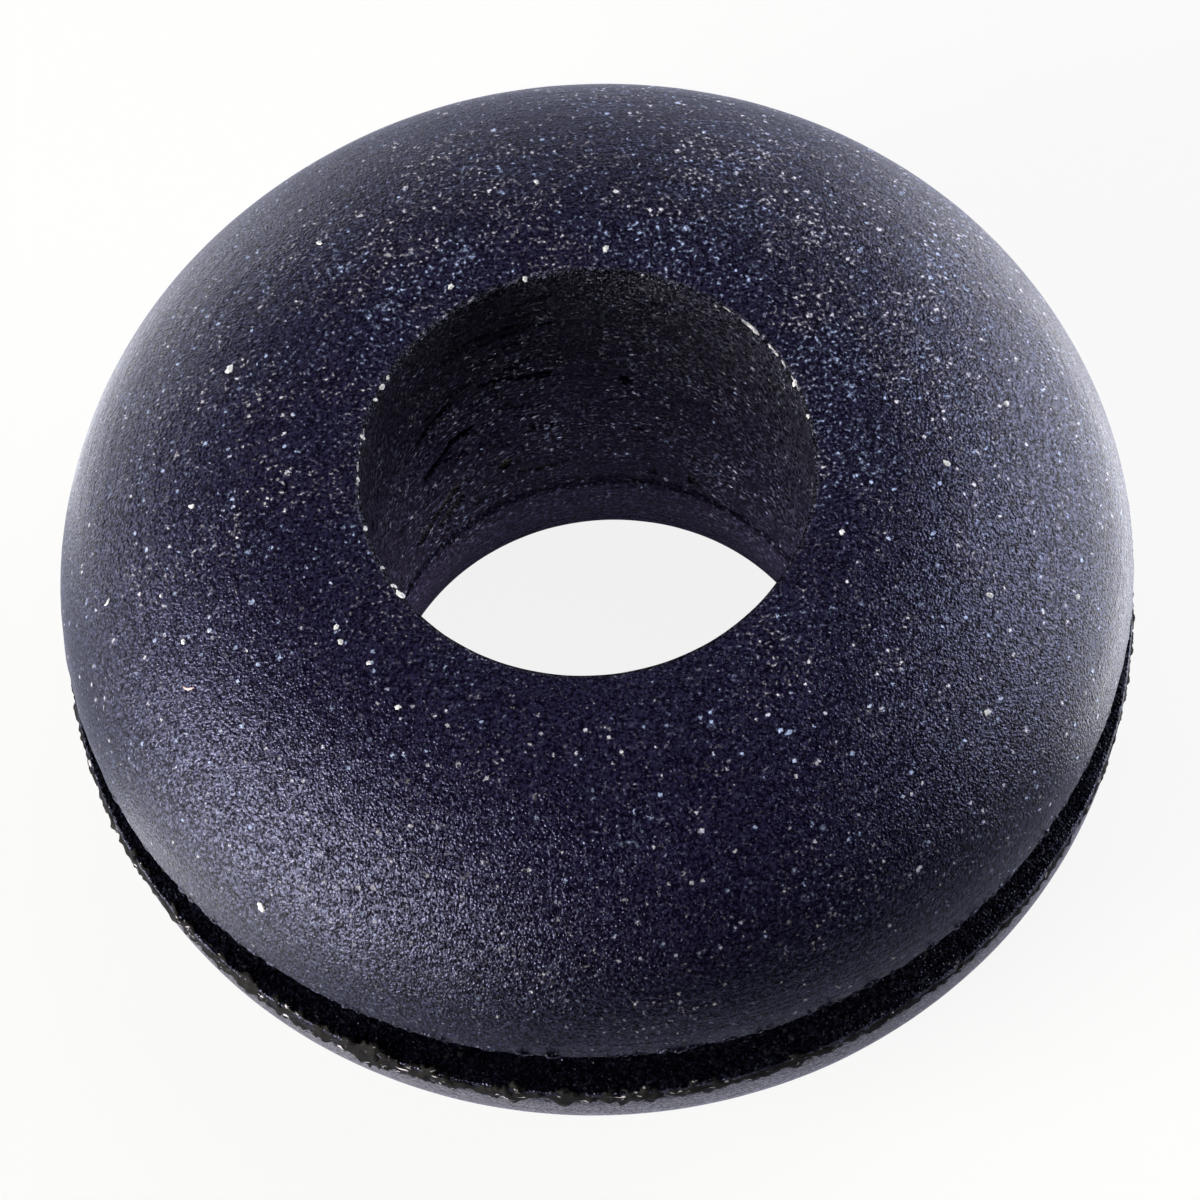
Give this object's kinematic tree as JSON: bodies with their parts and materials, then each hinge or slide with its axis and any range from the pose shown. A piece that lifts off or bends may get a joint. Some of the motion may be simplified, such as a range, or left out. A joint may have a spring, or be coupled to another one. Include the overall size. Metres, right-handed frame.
{
  "type": "rubber grommet",
  "caption": "Round moulded rubber grommet with domed flanges, a groove round its waist for the edge of a panel hole and a straight central bore.",
  "frame": {"origin": "on the bore's axis, halfway across the groove, which is the middle plane of the panel that the grommet sits in", "axes": "+Z along the bore, out of the face that the picture shows; X and Y are any two directions across it, because the grommet is round"},
  "size_m": [0.019, 0.019, 0.0096],
  "materials": {
    "black_rubber": "matt navy-black moulded rubber with a fine grain and a light dust of talc"
  },
  "bodies": {
    "root": {"grommet": "black_rubber"}
  },
  "joints": []
}
